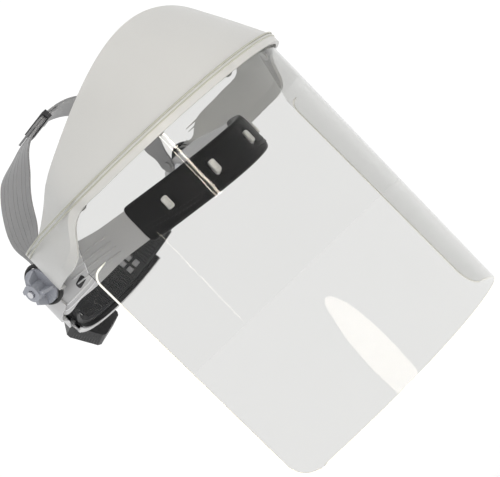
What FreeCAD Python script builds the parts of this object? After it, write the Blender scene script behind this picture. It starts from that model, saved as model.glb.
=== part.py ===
"""Face shield: a hinged brow guard and clear visor on a ratchet headband with a crown strap.

Millimetres. The wearer looks along -Y, up is +Z and the wearer's right is -X. The origin is the middle of
the head, level with the two side pivots. The shield is lowered and the crown strap is upright.
"""

import FreeCAD, Part
import math
import os

V = FreeCAD.Vector

# Side pivots
PIVOT_Y = 15.0
TAB_OUTER_X = 97.0
TAB_THICKNESS = 2.2
TAB_RADIUS = 13.0
BOLT_RADIUS = 2.5
BOLT_CLEARANCE = 0.06
BOLT_END_X = 113.0
BOLT_HEAD_RADIUS = 5.0
PLATE_OUTER_X = 86.0
PLATE_BOSS_RADIUS = 7.0
PLATE_BOSS_HEIGHT = 3.5
OUTER_WASHER_RADIUS = 12.4
OUTER_WASHER_THICKNESS = 1.4
TENSION_KNOB_START = TAB_OUTER_X + 1.7
TENSION_KNOB_RADIUS = 14.0
TENSION_KNOB_DEPTH = 12.5
TENSION_KNOB_SKIRT = 2.2
TENSION_KNOB_HUB_RADIUS = 6.6
FIN_THICKNESS = 2.6
FIN_FIRST_ANGLE = 30.0
NUT_RADIUS = 4.6
NUT_END = 5.0

# Visor
VISOR_CENTRE_Y = -30.0
VISOR_OUTER_RADIUS = 139.8
VISOR_THICKNESS = 1.0
VISOR_TOP = 17.5
VISOR_BOTTOM = -223.0
VISOR_TOP_HALF_ANGLE = 73.0
VISOR_BOTTOM_HALF_ANGLE = 69.0
VISOR_SHOULDER_ANGLE = 64.0
VISOR_SHOULDER_DROP = 42.5
VISOR_BOTTOM_CORNER = 18.0
VISOR_CUT_START = VISOR_OUTER_RADIUS - 14.0
VISOR_CUT_END = VISOR_OUTER_RADIUS + 20.0
STUD_ANGLES = (-60.0, -30.0, 0.0, 30.0, 60.0)
STUD_RADIUS = 2.4
STUD_HEAD_RADIUS = 4.2
STUD_HEAD_DEPTH = 1.6
STUD_Z = 14.4

# Brow guard
LIP_RADIUS = 145.0
LIP_BOTTOM = 11.0
LIP_RIM_HEIGHT = 7.0
LIP_THICKNESS = 3.0
STUD_END_RADIUS = LIP_RADIUS - 1.4
GUARD_THICKNESS = 2.2
GUARD_LEAN = 0.53
GUARD_BULGE = 0.5
GUARD_CROWN_RISE = 68.0
GUARD_CROWN_RUN = 200.0
GUARD_CROWN_POWER = 0.95
GUARD_SIDE_TOP = 21.0
GUARD_UPRIGHT_FROM = 0.58
GUARD_UPRIGHT_TO = 0.9
GUARD_DROP_FROM = 0.56
GUARD_DROP_TO = 0.68
GUARD_SECTIONS = 40
WING_POINTS = ((138.0, -68.0), (131.5, -45.0), (121.0, -24.0), (109.5, -10.0), (100.5, -2.5), (97.0, 3.0))

# Headband
BAND_HALF_WIDTH = 85.0
BAND_HALF_LENGTH = 106.0
BAND_CENTRE_Y = -15.0
BAND_THICKNESS = 2.0
BAND_END_Y = 36.0
BAND_SIDE_Z = -8.0
RIVET_RADIUS = 2.2
RIVET_Y = 30.5
RIVET_Z = -9.5
SWEATBAND_HALF_ANGLE = 58.0
SWEATBAND_HALF_HEIGHT = 16.0
SWEATBAND_INNER = 7.0
SWEATBAND_OUTER = 2.4
CLIP_ANGLES = (-41.0, -15.0, 15.0, 41.0)
CLIP_WIDTH = 4.8
CLIP_HEIGHT = 10.0

# Rear ratchet, built about its own upright axis and then tilted
REAR_CENTRE = V(0.0, 32.0, -15.0)
REAR_TILT = 12.0
PAD_INNER_RADIUS = 65.0
PLATE_INNER_RADIUS = 68.0
RACK_INNER_RADIUS = 69.8
RACK_THICKNESS = 1.6
COVER_INNER_RADIUS = 71.7
COVER_THICKNESS = 1.6
STRAP_INNER_RADIUS = 72.0
STRAP_THICKNESS = 1.8
HOUSING_HALF_ANGLE = 50.0
HOUSING_LOW = -15.0
HOUSING_HIGH = 13.0
HOUSING_LIP = 1.2
SCREW_ANGLE = 44.0
SCREW_EDGE = 1.4
SCREW_RADIUS = 0.9
SCREW_HEAD_RADIUS = 1.3
PAD_HALF_ANGLE = 70.0
PAD_LOW = -11.0
PAD_HIGH = 13.0
WINDOW_ANGLE = 34.0
WINDOW_WIDTH = 5.0
WINDOW_HEIGHT = 5.4
WINDOW_MIDDLE_Z = 1.0
WINDOW_COLUMN_ANGLE = 2.9
WINDOW_ROW_OFFSET = 3.7
STRAP_END_ANGLE = 53.0
STRAP_ARC_ANGLE = 64.0
STRAP_HALF_WIDTH = 8.5
RACK_OUTER_ANGLE = 62.0
RACK_INNER_END_ANGLE = -18.0
GEAR_MODULE = 1.2
GEAR_TEETH = 9
GEAR_PITCH_RADIUS = GEAR_MODULE * GEAR_TEETH / 2
TOOTH_ADDENDUM = 0.9
TOOTH_DEDENDUM = 1.4
TOOTH_WIDTH = 1.25
TOOTH_SLOPE = math.tan(math.radians(24.0))
SHAFT_RADIUS = 3.0
JOURNAL_RADIUS = 2.0
RUNNING_CLEARANCE = 0.06
RACK_TEETH = 12
RACK_EDGE = 10.2
BOSS_RADIUS = 11.0
KNOB_START = 87.4
KNOB_DEPTH = 14.0
KNOB_RADIUS = 23.5
KNOB_SIDES = 5
KNOB_FIRST_ANGLE = 30.0
KNOB_HOLLOW_RADIUS = 10.5
KNOB_SCREW_RADIUS = 1.2
SPRING_OUTER_RADIUS = 8.4
SPRING_INNER_RADIUS = 6.4
SPRING_THICKNESS = 1.1

# Crown strap
CROWN_PIN_Y = 22.5
CROWN_PIN_Z = 8.5
CROWN_HALF_WIDTH = 81.9
CROWN_TOP = 91.0
CROWN_TOP_Y = -3.0
CROWN_PIN_RADIUS = 2.0
CROWN_PIN_HEAD_RADIUS = 3.6
CROWN_PIN_HEAD_DEPTH = 1.3
CROWN_FULLNESS = 0.93
CROWN_EYE_RADIUS = 5.6
CROWN_LAP = 1.95
CROWN_WIDTH = 27.0
CROWN_NECK = 0.42
CROWN_TWIST = 27.0
CROWN_THICKNESS = 1.6
KEEPER_ANGLE = 84.0
KEEPER_LENGTH = 5.0


def polygon(points):
    """Closed wire through the points."""
    return Part.makePolygon(list(points) + [points[0]])


def outward(shape):
    """The shape's solid, turned so that its faces point out."""
    solid = shape.Solids[0]
    if solid.Volume < 0:
        solid.reverse()
    return solid


def loft(sections):
    """Smooth solid through a row of closed outlines with matching corners."""
    return outward(Part.makeLoft([polygon(points) for points in sections], True, False))


def smooth_step(value, start, end):
    """0 before start, 1 after end, with a gentle run between."""
    share = min(1.0, max(0.0, (value - start) / (end - start)))
    return share * share * (3 - 2 * share)


def prism(points, direction):
    """Solid made by pushing a flat outline along a vector."""
    return outward(Part.Face(polygon(points)).extrude(direction))


def group(solids):
    """Several separate solids kept in one node."""
    return Part.makeCompound([piece for solid in solids for piece in solid.Solids])


def mirrored(shape):
    """The same shape on the wearer's other side."""
    return shape.mirror(V(0, 0, 0), V(1, 0, 0))


def both_sides(shape):
    """A shape and its mirror image as one group."""
    return group([shape, mirrored(shape)])


def across(radius, x_start, x_end, y, z):
    """Cylinder along X between two distances from the middle plane."""
    return Part.makeCylinder(radius, x_end - x_start, V(x_start, y, z), V(1, 0, 0))


# ---------------------------------------------------------------- visor and brow guard


def radial(angle, radius, height):
    """Point on the visor's circle, with the angle measured from straight ahead."""
    turn = math.radians(angle)
    return V(radius * math.sin(turn), VISOR_CENTRE_Y - radius * math.cos(turn), height)


def radial_prism(angle, outline):
    """Prism through the visor along its radius; the outline holds (sideways, height) pairs."""
    turn = math.radians(angle)
    side = V(math.cos(turn), math.sin(turn), 0)
    start = radial(angle, VISOR_CUT_START, 0)
    points = [start + side * s + V(0, 0, z) for s, z in outline]
    return prism(points, radial(angle, VISOR_CUT_END, 0) - start)


def radial_cylinder(angle, height, radius, start, end):
    """Cylinder along the visor's radius between two distances from its centre."""
    base = radial(angle, start, height)
    return Part.makeCylinder(radius, end - start, base, radial(angle, 1.0, 0) - radial(angle, 0.0, 0))


def visor():
    """Clear sheet rolled to a part cylinder, with shoulders, a slight taper and round bottom corners."""
    height = VISOR_TOP - VISOR_BOTTOM
    sweep = 2 * VISOR_TOP_HALF_ANGLE
    base = V(0, VISOR_CENTRE_Y, VISOR_BOTTOM)
    sheet = Part.makeCylinder(VISOR_OUTER_RADIUS, height, base, V(0, 0, 1), sweep)
    sheet = sheet.cut(Part.makeCylinder(VISOR_OUTER_RADIUS - VISOR_THICKNESS, height, base))
    sheet.rotate(base, V(0, 0, 1), 270 - VISOR_TOP_HALF_ANGLE)
    per_degree = VISOR_OUTER_RADIUS * math.pi / 180
    taper = (VISOR_TOP_HALF_ANGLE - VISOR_BOTTOM_HALF_ANGLE) * per_degree
    shoulder = (VISOR_TOP_HALF_ANGLE - VISOR_SHOULDER_ANGLE) * per_degree
    corner = VISOR_BOTTOM_CORNER
    for side in (-1, 1):
        edge = side * VISOR_BOTTOM_HALF_ANGLE
        beyond = side * (taper + 6)
        bottom = VISOR_BOTTOM - 1
        wedge = [(0, bottom), (beyond, bottom), (beyond, VISOR_TOP), (side * taper, VISOR_TOP)]
        inset = corner - 1
        square = [(side * 6, bottom), (side * 6, VISOR_BOTTOM + inset), (-side * inset, VISOR_BOTTOM + inset)]
        square.append((-side * inset, bottom))
        round_axis = edge - side * corner / per_degree
        disc = radial_cylinder(round_axis, VISOR_BOTTOM + corner, corner, VISOR_CUT_START, VISOR_CUT_END)
        over = [(0, VISOR_TOP + 1), (side * (shoulder + 6), VISOR_TOP + 1)]
        over.append((side * (shoulder + 6), VISOR_TOP - VISOR_SHOULDER_DROP))
        over.append((side * shoulder, VISOR_TOP - VISOR_SHOULDER_DROP))
        sheet = sheet.cut(radial_prism(edge, wedge))
        sheet = sheet.cut(radial_prism(edge, square).cut(disc))
        sheet = sheet.cut(radial_prism(side * VISOR_SHOULDER_ANGLE, over))
    for angle in STUD_ANGLES:
        hole = radial_cylinder(angle, STUD_Z, STUD_RADIUS + 0.2, VISOR_CUT_START, VISOR_CUT_END)
        sheet = sheet.cut(hole)
    return outward(sheet)


def guard_path():
    """Plan curve of the guard's lower edge, from one pivot tab round the front to the other."""
    wing = [V(x, y, 0) for x, y in WING_POINTS]
    front = [radial(angle, LIP_RADIUS, 0) for angle in range(-64, 65, 16)]
    curve = Part.BSplineCurve()
    curve.interpolate([V(-p.x, p.y, 0) for p in reversed(wing)] + front + wing)
    return curve


def guard_section(point, inward, run, half_run):
    """Closed outline of the guard wall at one place, run millimetres of path from straight ahead.

    Towards the tab the wall turns upright, its lower edge drops and its top comes down to the tab's."""
    side = smooth_step(run, GUARD_UPRIGHT_FROM * half_run, GUARD_UPRIGHT_TO * half_run)
    drop = smooth_step(run, GUARD_DROP_FROM * half_run, GUARD_DROP_TO * half_run)
    end = smooth_step(run, half_run - 22, half_run - 4)
    low = LIP_BOTTOM + drop * (-TAB_RADIUS - LIP_BOTTOM)
    rise = math.cos(math.pi / 2 * min(1.0, run / GUARD_CROWN_RUN)) ** GUARD_CROWN_POWER
    high = GUARD_SIDE_TOP + GUARD_CROWN_RISE * rise - end * (GUARD_SIDE_TOP - TAB_RADIUS)
    rim_wall = GUARD_THICKNESS + (LIP_THICKNESS - GUARD_THICKNESS) * (1 - side)
    wall_foot = low + LIP_RIM_HEIGHT
    height = high - wall_foot

    def wall_point(share, depth):
        lean = GUARD_LEAN * height * share - GUARD_BULGE * math.sin(math.pi * share)
        return point + inward * (lean * (1 - side) + depth) + V(0, 0, wall_foot + height * share)

    shares = (0.0, 0.25, 0.5, 0.75, 1.0)
    outer = [wall_point(share, 0.0) for share in shares]
    inner = [wall_point(share, GUARD_THICKNESS) for share in (1.0, 0.75, 0.5, 0.25, 0.05)]
    foot = [point + inward * rim_wall + V(0, 0, wall_foot), point + inward * rim_wall + V(0, 0, low)]
    sole = point + V(0, 0, low)
    edges = [
        Part.makePolygon([sole, outer[0]]),
        spline_edge(outer),
        Part.makePolygon([outer[-1], inner[0]]),
        spline_edge(inner),
        Part.makePolygon([inner[-1], *foot, sole]),
    ]
    return Part.Wire([piece for edge in edges for piece in edge.Edges])


def spline_edge(points):
    """Smooth edge through the points."""
    curve = Part.BSplineCurve()
    curve.interpolate(points)
    return curve.toShape()


def guard_shell():
    """Domed wall of the brow guard with its thicker lower rim."""
    path = guard_path()
    first, last = path.FirstParameter, path.LastParameter
    half_run = path.length() / 2
    count = GUARD_SECTIONS
    wires = []
    for step in range(count + 1):
        place = path.parameterAtDistance(2 * half_run * step / count, first) if step < count else last
        point = path.value(place)
        ahead = path.tangent(place)[0]
        inward = V(-ahead.y, ahead.x, 0)
        wires.append(guard_section(point, inward, abs(half_run * (2 * step / count - 1)), half_run))
    return outward(Part.makeLoft(wires, True, False))


def brow_guard():
    """Brow guard: domed wall, flat pivot tabs and blind seats for the visor studs."""
    inner_x = TAB_OUTER_X - TAB_THICKNESS
    wing_end = WING_POINTS[-1][1] - 1.5
    plate = Part.makeBox(TAB_THICKNESS, PIVOT_Y - wing_end, 2 * TAB_RADIUS, V(inner_x, wing_end, -TAB_RADIUS))
    plate = plate.fuse(across(TAB_RADIUS, inner_x, TAB_OUTER_X, PIVOT_Y, 0))
    plate = plate.cut(across(BOLT_RADIUS + BOLT_CLEARANCE, inner_x - 1, TAB_OUTER_X + 1, PIVOT_Y, 0))
    shape = guard_shell().fuse([plate, mirrored(plate)])
    for angle in STUD_ANGLES:
        shape = shape.cut(radial_cylinder(angle, STUD_Z, STUD_RADIUS, VISOR_CUT_START, STUD_END_RADIUS))
    return outward(shape)


def visor_studs():
    """Five press studs that hold the visor inside the rim."""
    inner = VISOR_OUTER_RADIUS - VISOR_THICKNESS
    studs = []
    for angle in STUD_ANGLES:
        shank = radial_cylinder(angle, STUD_Z, STUD_RADIUS, inner - 0.5, STUD_END_RADIUS)
        head_end = inner - 0.3
        head = radial_cylinder(angle, STUD_Z, STUD_HEAD_RADIUS, head_end - STUD_HEAD_DEPTH, head_end)
        studs.append(outward(shank.fuse(head)))
    return group(studs)


# ---------------------------------------------------------------- headband


def band_place(angle):
    """Point and outward normal of the headband's middle line, angle degrees from straight ahead."""
    turn = math.radians(angle)
    x = BAND_HALF_WIDTH * math.sin(turn)
    y = BAND_CENTRE_Y - BAND_HALF_LENGTH * math.cos(turn)
    normal = V(x / BAND_HALF_WIDTH ** 2, (y - BAND_CENTRE_Y) / BAND_HALF_LENGTH ** 2, 0).normalize()
    return V(x, y, 0), normal


def band_height(y):
    """Height of the headband's middle line: highest at the pivots, dipping to the front and the rear."""
    if y < PIVOT_Y:
        return BAND_SIDE_Z - 18.0 * ((PIVOT_Y - y) / 133.0) ** 1.3
    return BAND_SIDE_Z - 4.8 * ((y - PIVOT_Y) / 34.0) ** 1.3


def band_half_height(y):
    """Half the headband's width: narrow under the sweatband, wide at the pivots."""
    lobe = smooth_step(y, -60, -5) * (1 - smooth_step(y, 30, 46))
    return 10.5 + 3.0 * smooth_step(y, -105, -70) + 4.5 * lobe - 4.5 * smooth_step(y, 26, 46)


def strip_section(point, normal, inner, outer, low, high):
    """Upright rectangle across a strip, between two offsets along its normal."""
    corners = ((outer, low), (outer, high), (inner, high), (inner, low))
    return [point + normal * offset + V(0, 0, z) for offset, z in corners]


def headband():
    """Front and side band in one strip, ending in the two pivot plates."""
    half = BAND_THICKNESS / 2
    places = [(V(-BAND_HALF_WIDTH, y, 0), V(-1, 0, 0)) for y in (BAND_END_Y, 30.0, 22.0, 12.0, 0.0)]
    places += [band_place(angle) for angle in range(-90, 91, 10)]
    places += [(V(-p.x, p.y, 0), -n) for p, n in reversed(places[:5])]
    sections = []
    for point, normal in places:
        middle = band_height(point.y)
        reach = band_half_height(point.y)
        sections.append(strip_section(point, normal, -half, half, middle - reach, middle + reach))
    band = loft(sections)
    boss = across(PLATE_BOSS_RADIUS, PLATE_OUTER_X - 0.5, PLATE_OUTER_X + PLATE_BOSS_HEIGHT, PIVOT_Y, 0)
    band = band.fuse([boss, mirrored(boss)])
    bolt_hole = across(BOLT_RADIUS, PLATE_OUTER_X - 6, PLATE_OUTER_X + 6, PIVOT_Y, 0)
    pin_radius = CROWN_PIN_RADIUS + BOLT_CLEARANCE
    pin_hole = across(pin_radius, PLATE_OUTER_X - 6, PLATE_OUTER_X + 6, CROWN_PIN_Y, CROWN_PIN_Z)
    for hole in (bolt_hole, pin_hole):
        band = band.cut([hole, mirrored(hole)])
    return outward(band.cut(strap_rivets()))


def sweatband_sleeve():
    """Padded sleeve round the front of the headband, before the band's slot is cut."""
    sections = []
    steps = 12
    for step in range(steps + 1):
        angle = SWEATBAND_HALF_ANGLE * (2 * step / steps - 1)
        point, normal = band_place(angle)
        middle = band_height(point.y) - 0.5
        reach = SWEATBAND_HALF_HEIGHT
        sections.append(
            strip_section(point, normal, -SWEATBAND_INNER, SWEATBAND_OUTER, middle - reach, middle + reach)
        )
    return loft(sections)


def sweatband_clips():
    """Four white clips that stand on the headband and poke through the sweatband's slots."""
    clips = []
    for angle in CLIP_ANGLES:
        point, normal = band_place(angle)
        side = V(-normal.y, normal.x, 0)
        low = band_height(point.y) - CLIP_HEIGHT / 2
        start = point + normal * (BAND_THICKNESS / 2 + 0.15) + V(0, 0, low)
        outline = [start - side * (CLIP_WIDTH / 2), start + side * (CLIP_WIDTH / 2)]
        outline += [corner + V(0, 0, CLIP_HEIGHT) for corner in reversed(outline)]
        clips.append(prism(outline, normal * (SWEATBAND_OUTER + 0.2)))
    return group(clips)


def sweatband(band, clips):
    """Soft sweatband with the slot that the headband runs in and the clips' openings."""
    return outward(sweatband_sleeve().cut([band, clips]))


# ---------------------------------------------------------------- side pivots


def pivot_bolts():
    """Bolt through each pivot, head inside the headband."""
    shank = across(BOLT_RADIUS, PLATE_OUTER_X - 2.0, BOLT_END_X, PIVOT_Y, 0)
    head = across(BOLT_HEAD_RADIUS, PLATE_OUTER_X - 4.0, PLATE_OUTER_X - 2.0, PIVOT_Y, 0)
    return both_sides(outward(shank.fuse(head)))


def washers(radius, start, end):
    """Flat washer on each pivot bolt."""
    ring = across(radius, start, end, PIVOT_Y, 0)
    return both_sides(ring.cut(across(BOLT_RADIUS + BOLT_CLEARANCE, start - 1, end + 1, PIVOT_Y, 0)))


def tension_knob():
    """Knob with a round skirt, four fins that fall towards the hub, and a recess for the nut."""
    start = TENSION_KNOB_START
    hub = across(TENSION_KNOB_HUB_RADIUS, start, start + TENSION_KNOB_DEPTH, PIVOT_Y, 0)
    body = hub.fuse(across(TENSION_KNOB_RADIUS, start, start + TENSION_KNOB_SKIRT, PIVOT_Y, 0))
    reach = TENSION_KNOB_RADIUS
    fin_outline = [(0.0, 0.0), (0.0, reach), (3.5, reach), (TENSION_KNOB_DEPTH - 1.5, reach - 4.0)]
    fin_outline.append((TENSION_KNOB_DEPTH - 1.5, 0.0))
    for quarter in range(4):
        near_face = PIVOT_Y - FIN_THICKNESS / 2
        fin = prism([V(start + x, near_face, z) for x, z in fin_outline], V(0, FIN_THICKNESS, 0))
        fin.rotate(V(0, PIVOT_Y, 0), V(1, 0, 0), FIN_FIRST_ANGLE + 90 * quarter)
        body = body.fuse(fin)
    body = body.cut(across(NUT_RADIUS, start - 1, start + NUT_END, PIVOT_Y, 0))
    return outward(body.cut(across(BOLT_RADIUS + 0.3, start - 1, BOLT_END_X, PIVOT_Y, 0)))


def knob_nut():
    """Round brass nut moulded into the tension knob."""
    start = TENSION_KNOB_START
    ring = across(NUT_RADIUS, start + 0.4, start + NUT_END, PIVOT_Y, 0)
    return outward(ring.cut(across(BOLT_RADIUS + BOLT_CLEARANCE, start - 1, start + 8, PIVOT_Y, 0)))


# ---------------------------------------------------------------- rear ratchet


def tilted(shape):
    """Moves a shape from the ratchet's own frame to its place behind the head."""
    moved = shape.copy()
    turn = FreeCAD.Rotation(V(1, 0, 0), -REAR_TILT)
    moved.Placement = FreeCAD.Placement(REAR_CENTRE, turn)
    return moved


def ring_sector(inner, thickness, start, end, low, high):
    """Curved plate about the ratchet's axis, with angles from straight back towards +X."""
    height = high - low
    sector = Part.makeCylinder(inner + thickness, height, V(0, 0, low), V(0, 0, 1), end - start)
    sector = sector.cut(Part.makeCylinder(inner, height, V(0, 0, low)))
    sector.rotate(V(0, 0, 0), V(0, 0, 1), 90 - end)
    return sector


def back_cylinder(radius, start, end, x=0.0, z=0.0):
    """Cylinder along the ratchet frame's Y between two distances from its axis."""
    return Part.makeCylinder(radius, end - start, V(x, start, z), V(0, 1, 0))


def rear_pad():
    """Soft ribbed pad inside the housing, with two windows of four openings."""
    depth = PLATE_INNER_RADIUS - PAD_INNER_RADIUS
    pad = ring_sector(PAD_INNER_RADIUS, depth, -PAD_HALF_ANGLE, PAD_HALF_ANGLE, PAD_LOW, PAD_HIGH)
    for side in (-1, 1):
        for column in (-1, 1):
            for row in (-1, 1):
                low = WINDOW_MIDDLE_Z - WINDOW_HEIGHT / 2 + WINDOW_ROW_OFFSET * row
                corner = V(-WINDOW_WIDTH / 2, PAD_INNER_RADIUS - 4, low)
                window = Part.makeBox(WINDOW_WIDTH, 12.0, WINDOW_HEIGHT, corner)
                turn = side * WINDOW_ANGLE + column * WINDOW_COLUMN_ANGLE
                window.rotate(V(0, 0, 0), V(0, 0, 1), -turn)
                pad = pad.cut(window)
    return outward(pad)


def housing_plate():
    """Inner plate of the ratchet housing, with the pinion's inner bearing hole."""
    depth = RACK_INNER_RADIUS - 0.3 - PLATE_INNER_RADIUS
    angle = HOUSING_HALF_ANGLE
    plate = ring_sector(PLATE_INNER_RADIUS, depth, -angle, angle, HOUSING_LOW, HOUSING_HIGH)
    plate = plate.cut(back_cylinder(JOURNAL_RADIUS + RUNNING_CLEARANCE, 60, 85))
    return outward(plate.cut(housing_screws()))


def housing_cover():
    """Outer cover: curved wall, top and bottom lips that close on the plate, and the shaft's boss."""
    wall_end = COVER_INNER_RADIUS + COVER_THICKNESS
    lip_start = RACK_INNER_RADIUS - 0.3
    angle = HOUSING_HALF_ANGLE
    cover = ring_sector(COVER_INNER_RADIUS, COVER_THICKNESS, -angle, angle, HOUSING_LOW, HOUSING_HIGH)
    for low in (HOUSING_LOW, HOUSING_HIGH - HOUSING_LIP):
        lip = ring_sector(lip_start, wall_end - lip_start, -angle, angle, low, low + HOUSING_LIP)
        cover = cover.fuse(lip)
    cover = cover.fuse(back_cylinder(BOSS_RADIUS, COVER_INNER_RADIUS + 0.2, KNOB_START - 1.4))
    cover = cover.cut(back_cylinder(SHAFT_RADIUS + RUNNING_CLEARANCE, 60, 110))
    return outward(cover.cut(housing_screws()))


def housing_screws():
    """Four small screws through the cover's ends into the plate."""
    screws = []
    for side in (-1, 1):
        for height in (HOUSING_LOW + SCREW_EDGE, HOUSING_HIGH - SCREW_EDGE):
            shank = back_cylinder(SCREW_RADIUS, PLATE_INNER_RADIUS + 0.4, COVER_INNER_RADIUS + COVER_THICKNESS)
            head_start = COVER_INNER_RADIUS + COVER_THICKNESS - 0.9
            head = back_cylinder(SCREW_HEAD_RADIUS, head_start, COVER_INNER_RADIUS + 2.2)
            screw = outward(shank.fuse(head))
            screw.translate(V(0, 0, height))
            screw.rotate(V(0, 0, 0), V(0, 0, 1), -side * SCREW_ANGLE)
            screws.append(screw)
    return group(screws)


def rear_strap():
    """Fixed grey strap: an arc outside the toothed strap, then a curve out to the pivot plate."""
    half = STRAP_THICKNESS / 2
    middle = STRAP_INNER_RADIUS + half
    arc = []
    for angle in (STRAP_END_ANGLE, 56.5, 60.0, STRAP_ARC_ANGLE):
        turn = math.radians(angle)
        arc.append(V(middle * math.sin(turn), REAR_CENTRE.y + middle * math.cos(turn), 0))
    plate_x = PLATE_OUTER_X + 0.1 + half
    curve = Part.BSplineCurve()
    along_plate = [V(plate_x - 3.5, 46.0, 0), V(plate_x, 38.0, 0), V(plate_x, 31.0, 0), V(plate_x, 25.0, 0)]
    curve.interpolate(arc + along_plate)
    sections = []
    for step in range(17):
        place = curve.FirstParameter + (curve.LastParameter - curve.FirstParameter) * step / 16
        point = curve.value(place)
        ahead = curve.tangent(place)[0]
        normal = V(-ahead.y, ahead.x, 0)
        rise = REAR_CENTRE.z - math.tan(math.radians(REAR_TILT)) * (point.y - REAR_CENTRE.y)
        reach = STRAP_HALF_WIDTH
        sections.append(strip_section(point, normal, -half, half, rise - reach, rise + reach))
    return outward(loft(sections).cut(strap_rivets()))


def strap_rivets():
    """Rivet that joins each rear strap to the end of the headband."""
    outer = PLATE_OUTER_X + STRAP_THICKNESS
    return both_sides(across(RIVET_RADIUS, PLATE_OUTER_X - 3.0, outer + 0.8, RIVET_Y, RIVET_Z))


def rack_tooth(angle, direction, tip):
    """One rack tooth on the edge of a strap; direction is +1 when it points down at the pinion."""
    root = GEAR_PITCH_RADIUS + TOOTH_DEDENDUM
    tip_half = TOOTH_WIDTH / 2 - TOOTH_ADDENDUM * TOOTH_SLOPE
    root_half = TOOTH_WIDTH / 2 + TOOTH_DEDENDUM * TOOTH_SLOPE
    outline = [(-root_half, root + 0.2), (-tip_half, tip), (tip_half, tip), (root_half, root + 0.2)]
    points = [V(x, RACK_INNER_RADIUS, direction * z) for x, z in outline]
    tooth = prism(points, V(0, RACK_THICKNESS, 0))
    tooth.rotate(V(0, 0, 0), V(0, 0, 1), -angle)
    return tooth


def rack_strap(side, direction, phase):
    """Toothed strap end on one side of the pinion; phase shifts its teeth by a share of the pitch."""
    root = GEAR_PITCH_RADIUS + TOOTH_DEDENDUM
    low, high = (root, RACK_EDGE) if direction > 0 else (-RACK_EDGE, -root)
    start, end = sorted((side * RACK_OUTER_ANGLE, side * RACK_INNER_END_ANGLE))
    strap = ring_sector(RACK_INNER_RADIUS, RACK_THICKNESS, start, end, low, high)
    mean = RACK_INNER_RADIUS + RACK_THICKNESS / 2
    pitch = math.degrees(math.pi * GEAR_MODULE / mean)
    for index in range(-RACK_TEETH // 2, RACK_TEETH // 2):
        tooth = rack_tooth((index + phase) * pitch, direction, GEAR_PITCH_RADIUS - TOOTH_ADDENDUM)
        strap = strap.fuse(tooth)
    return outward(strap.removeSplitter())


def pinion_shaft():
    """Pinion with its shaft, which turns in the plate and the cover."""
    start, end = RACK_INNER_RADIUS - 0.05, RACK_INNER_RADIUS + RACK_THICKNESS + 0.05
    root = GEAR_PITCH_RADIUS - TOOTH_DEDENDUM
    tip = GEAR_PITCH_RADIUS + TOOTH_ADDENDUM
    shaft = back_cylinder(root, start, end).fuse(back_cylinder(SHAFT_RADIUS, end - 0.2, KNOB_START + 6.0))
    shaft = shaft.fuse(back_cylinder(JOURNAL_RADIUS, PLATE_INNER_RADIUS + 0.2, start + 0.2))
    tip_half = TOOTH_WIDTH / 2 - TOOTH_ADDENDUM * TOOTH_SLOPE
    root_half = TOOTH_WIDTH / 2 + TOOTH_DEDENDUM * TOOTH_SLOPE * 0.6
    for index in range(GEAR_TEETH):
        outline = [(-root_half, root - 0.4), (-tip_half, tip), (tip_half, tip), (root_half, root - 0.4)]
        tooth = prism([V(x, start, z) for x, z in outline], V(0, end - start, 0))
        tooth.rotate(V(0, 0, 0), V(0, 1, 0), 360 / GEAR_TEETH * index)
        shaft = shaft.fuse(tooth)
    return outward(shaft.cut(back_cylinder(KNOB_SCREW_RADIUS, KNOB_START - 2, KNOB_START + 8)))


def ratchet_knob():
    """Five-sided grip with a hollow that hides the click spring."""
    corners = [math.radians(KNOB_FIRST_ANGLE + 360 / KNOB_SIDES * index) for index in range(KNOB_SIDES)]
    outline = [V(KNOB_RADIUS * math.cos(a), KNOB_START, KNOB_RADIUS * math.sin(a)) for a in corners]
    grip = prism(outline, V(0, KNOB_DEPTH, 0))
    round_off = back_cylinder(KNOB_RADIUS - 1.2, KNOB_START - 1, KNOB_START + KNOB_DEPTH + 1)
    grip = grip.common(round_off)
    grip = grip.cut(back_cylinder(KNOB_HOLLOW_RADIUS, KNOB_START - 1, KNOB_START + 3.5))
    grip = grip.cut(back_cylinder(SHAFT_RADIUS, KNOB_START - 1, KNOB_START + 6.0))
    grip = grip.cut(back_cylinder(KNOB_SCREW_RADIUS + 0.1, KNOB_START, KNOB_START + 20))
    return outward(grip.cut(back_cylinder(3.0, KNOB_START + KNOB_DEPTH - 2.4, KNOB_START + 20)))


def knob_screw():
    """Screw that holds the ratchet knob on the pinion shaft."""
    top = KNOB_START + KNOB_DEPTH
    shank = back_cylinder(KNOB_SCREW_RADIUS, KNOB_START - 1, top - 2.0)
    return outward(shank.fuse(back_cylinder(2.7, top - 2.4, top - 0.8)))


def click_spring():
    """Spring ring on the cover's boss whose two horns click against the knob."""
    start = KNOB_START - 1.4
    ring = back_cylinder(SPRING_OUTER_RADIUS, start, start + SPRING_THICKNESS)
    ring = ring.cut(back_cylinder(SPRING_INNER_RADIUS, start - 1, start + 3))
    for foot in (7.0, -10.0):
        ring = ring.fuse(Part.makeBox(1.6, SPRING_THICKNESS, 3.0, V(-0.8, start, foot)))
    return outward(ring)


# ---------------------------------------------------------------- crown strap


def crown_place(turn, lift):
    """Point on the crown strap's arch, lift millimetres above its middle surface."""
    angle = math.radians(turn)
    rise = CROWN_TOP - CROWN_PIN_Z
    across_share = math.copysign(abs(math.cos(angle)) ** CROWN_FULLNESS, math.cos(angle))
    x = -(CROWN_HALF_WIDTH + lift) * across_share
    z = CROWN_PIN_Z + (rise + lift) * abs(math.sin(angle)) ** CROWN_FULLNESS
    y = CROWN_PIN_Y + (CROWN_TOP_Y - CROWN_PIN_Y) * abs(math.sin(angle))
    return V(x, y, z)


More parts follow.
